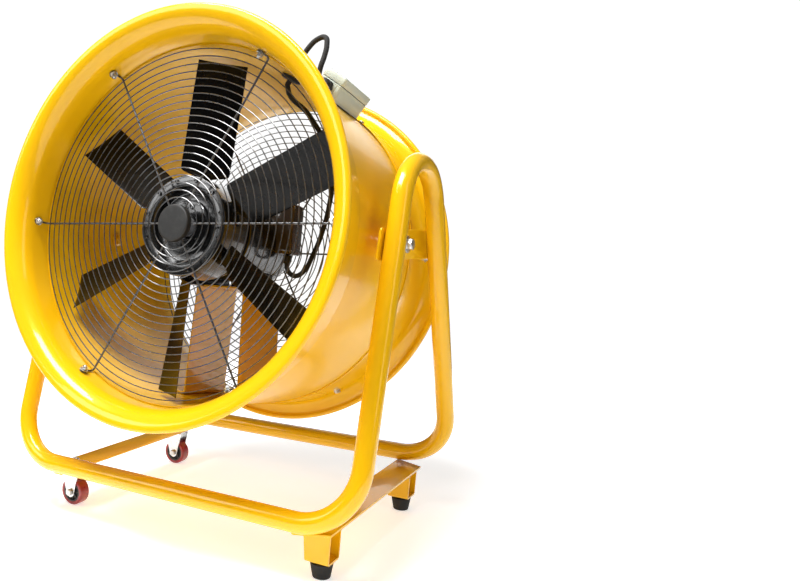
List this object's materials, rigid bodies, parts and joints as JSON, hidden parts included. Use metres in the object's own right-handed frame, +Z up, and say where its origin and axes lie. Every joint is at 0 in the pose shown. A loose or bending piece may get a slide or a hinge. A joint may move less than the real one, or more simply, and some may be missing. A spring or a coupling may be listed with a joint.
{
  "type": "portable axial blower",
  "caption": "Portable axial duct blower: a flared drum with guards, motor and bladed impeller, tilting in a wheeled bent-tube stand.",
  "frame": {"origin": "on the floor, at the centre of the bounding box's bottom face", "axes": "+Z up, -Y the way the front mouth faces, +X to the side with the terminal box and rubber feet; the drum rests with its front edge raised 8.4 degrees"},
  "size_m": [0.73, 0.5656, 0.8926],
  "materials": {
    "yellow_paint": "gloss powder coat",
    "black_wire": "satin coated wire",
    "black_impeller": "gloss black coating",
    "motor_paint": "gloss black paint",
    "zinc_steel": "bright zinc plate",
    "core_steel": "plain steel",
    "black_rubber": "moulded rubber",
    "black_nylon": "moulded nylon",
    "cable_jacket": "smooth cable jacket",
    "red_tread": "glossy polyurethane",
    "dark_core": "moulded wheel centre",
    "grey_plastic": "grey-green moulded plastic"
  },
  "bodies": {
    "stand": {"front_frame_tube": "yellow_paint", "rear_frame_tube": "yellow_paint", "left_pivot_plate": "yellow_paint", "right_pivot_plate": "yellow_paint", "wheel_cross_plate": "yellow_paint", "foot_cross_plate": "yellow_paint", "front_foot_bracket": "yellow_paint", "rear_foot_bracket": "yellow_paint", "front_rubber_foot": "black_rubber", "rear_rubber_foot": "black_rubber", "front_caster_fork": "zinc_steel", "rear_caster_fork": "zinc_steel", "front_axle_bolt": "zinc_steel", "rear_axle_bolt": "zinc_steel"},
    "drum": {"drum_shell": "yellow_paint", "front_bell": "yellow_paint", "rear_bell": "yellow_paint", "front_guard": "black_wire", "rear_guard": "black_wire", "front_guard_bolt_1": "zinc_steel", "front_guard_bolt_2": "zinc_steel", "front_guard_bolt_3": "zinc_steel", "front_guard_bolt_4": "zinc_steel", "front_guard_bolt_5": "zinc_steel", "front_guard_bolt_6": "zinc_steel", "rear_guard_bolt_1": "zinc_steel", "rear_guard_bolt_2": "zinc_steel", "rear_guard_bolt_3": "zinc_steel", "rear_guard_bolt_4": "zinc_steel", "rear_guard_bolt_5": "zinc_steel", "rear_guard_bolt_6": "zinc_steel", "left_pivot_bolt": "zinc_steel", "right_pivot_bolt": "zinc_steel", "motor_cradle": "yellow_paint", "motor_frame": "motor_paint", "motor_front_bell": "motor_paint", "motor_rear_bell": "motor_paint", "stator_core": "core_steel", "motor_terminal_box": "motor_paint", "motor_cable_gland": "black_nylon", "terminal_box_base": "grey_plastic", "terminal_box_lid": "grey_plastic", "box_cable_gland": "black_nylon", "supply_gland": "black_nylon", "cable_grommet": "black_rubber", "motor_cable": "cable_jacket"},
    "impeller": {"hub_front": "black_impeller", "hub_rear": "black_impeller", "blade_1": "black_impeller", "blade_2": "black_impeller", "blade_3": "black_impeller", "blade_4": "black_impeller", "blade_5": "black_impeller", "blade_6": "black_impeller", "rotor_shaft": "core_steel"},
    "front_wheel": {"front_wheel_core": "dark_core", "front_wheel_tread": "red_tread"},
    "rear_wheel": {"rear_wheel_core": "dark_core", "rear_wheel_tread": "red_tread"}
  },
  "joints": [
    {"name": "drum_tilt", "type": "hinge", "parent": "stand", "child": "drum", "pos_m": [0, 0.02869, 0.5157], "axis": [1, 0, 0], "range_deg": [-11, 38]},
    {"name": "impeller_spin", "type": "hinge", "parent": "drum", "child": "impeller", "pos_m": [0, 0.02869, 0.5157], "axis": [0, 0.9893, -0.1461], "continuous": true},
    {"name": "front_wheel_spin", "type": "hinge", "parent": "stand", "child": "front_wheel", "pos_m": [-0.2635, -0.13531, 0.0265], "axis": [0, 1, 0], "continuous": true},
    {"name": "rear_wheel_spin", "type": "hinge", "parent": "stand", "child": "rear_wheel", "pos_m": [-0.2635, 0.19269, 0.0265], "axis": [0, 1, 0], "continuous": true}
  ]
}
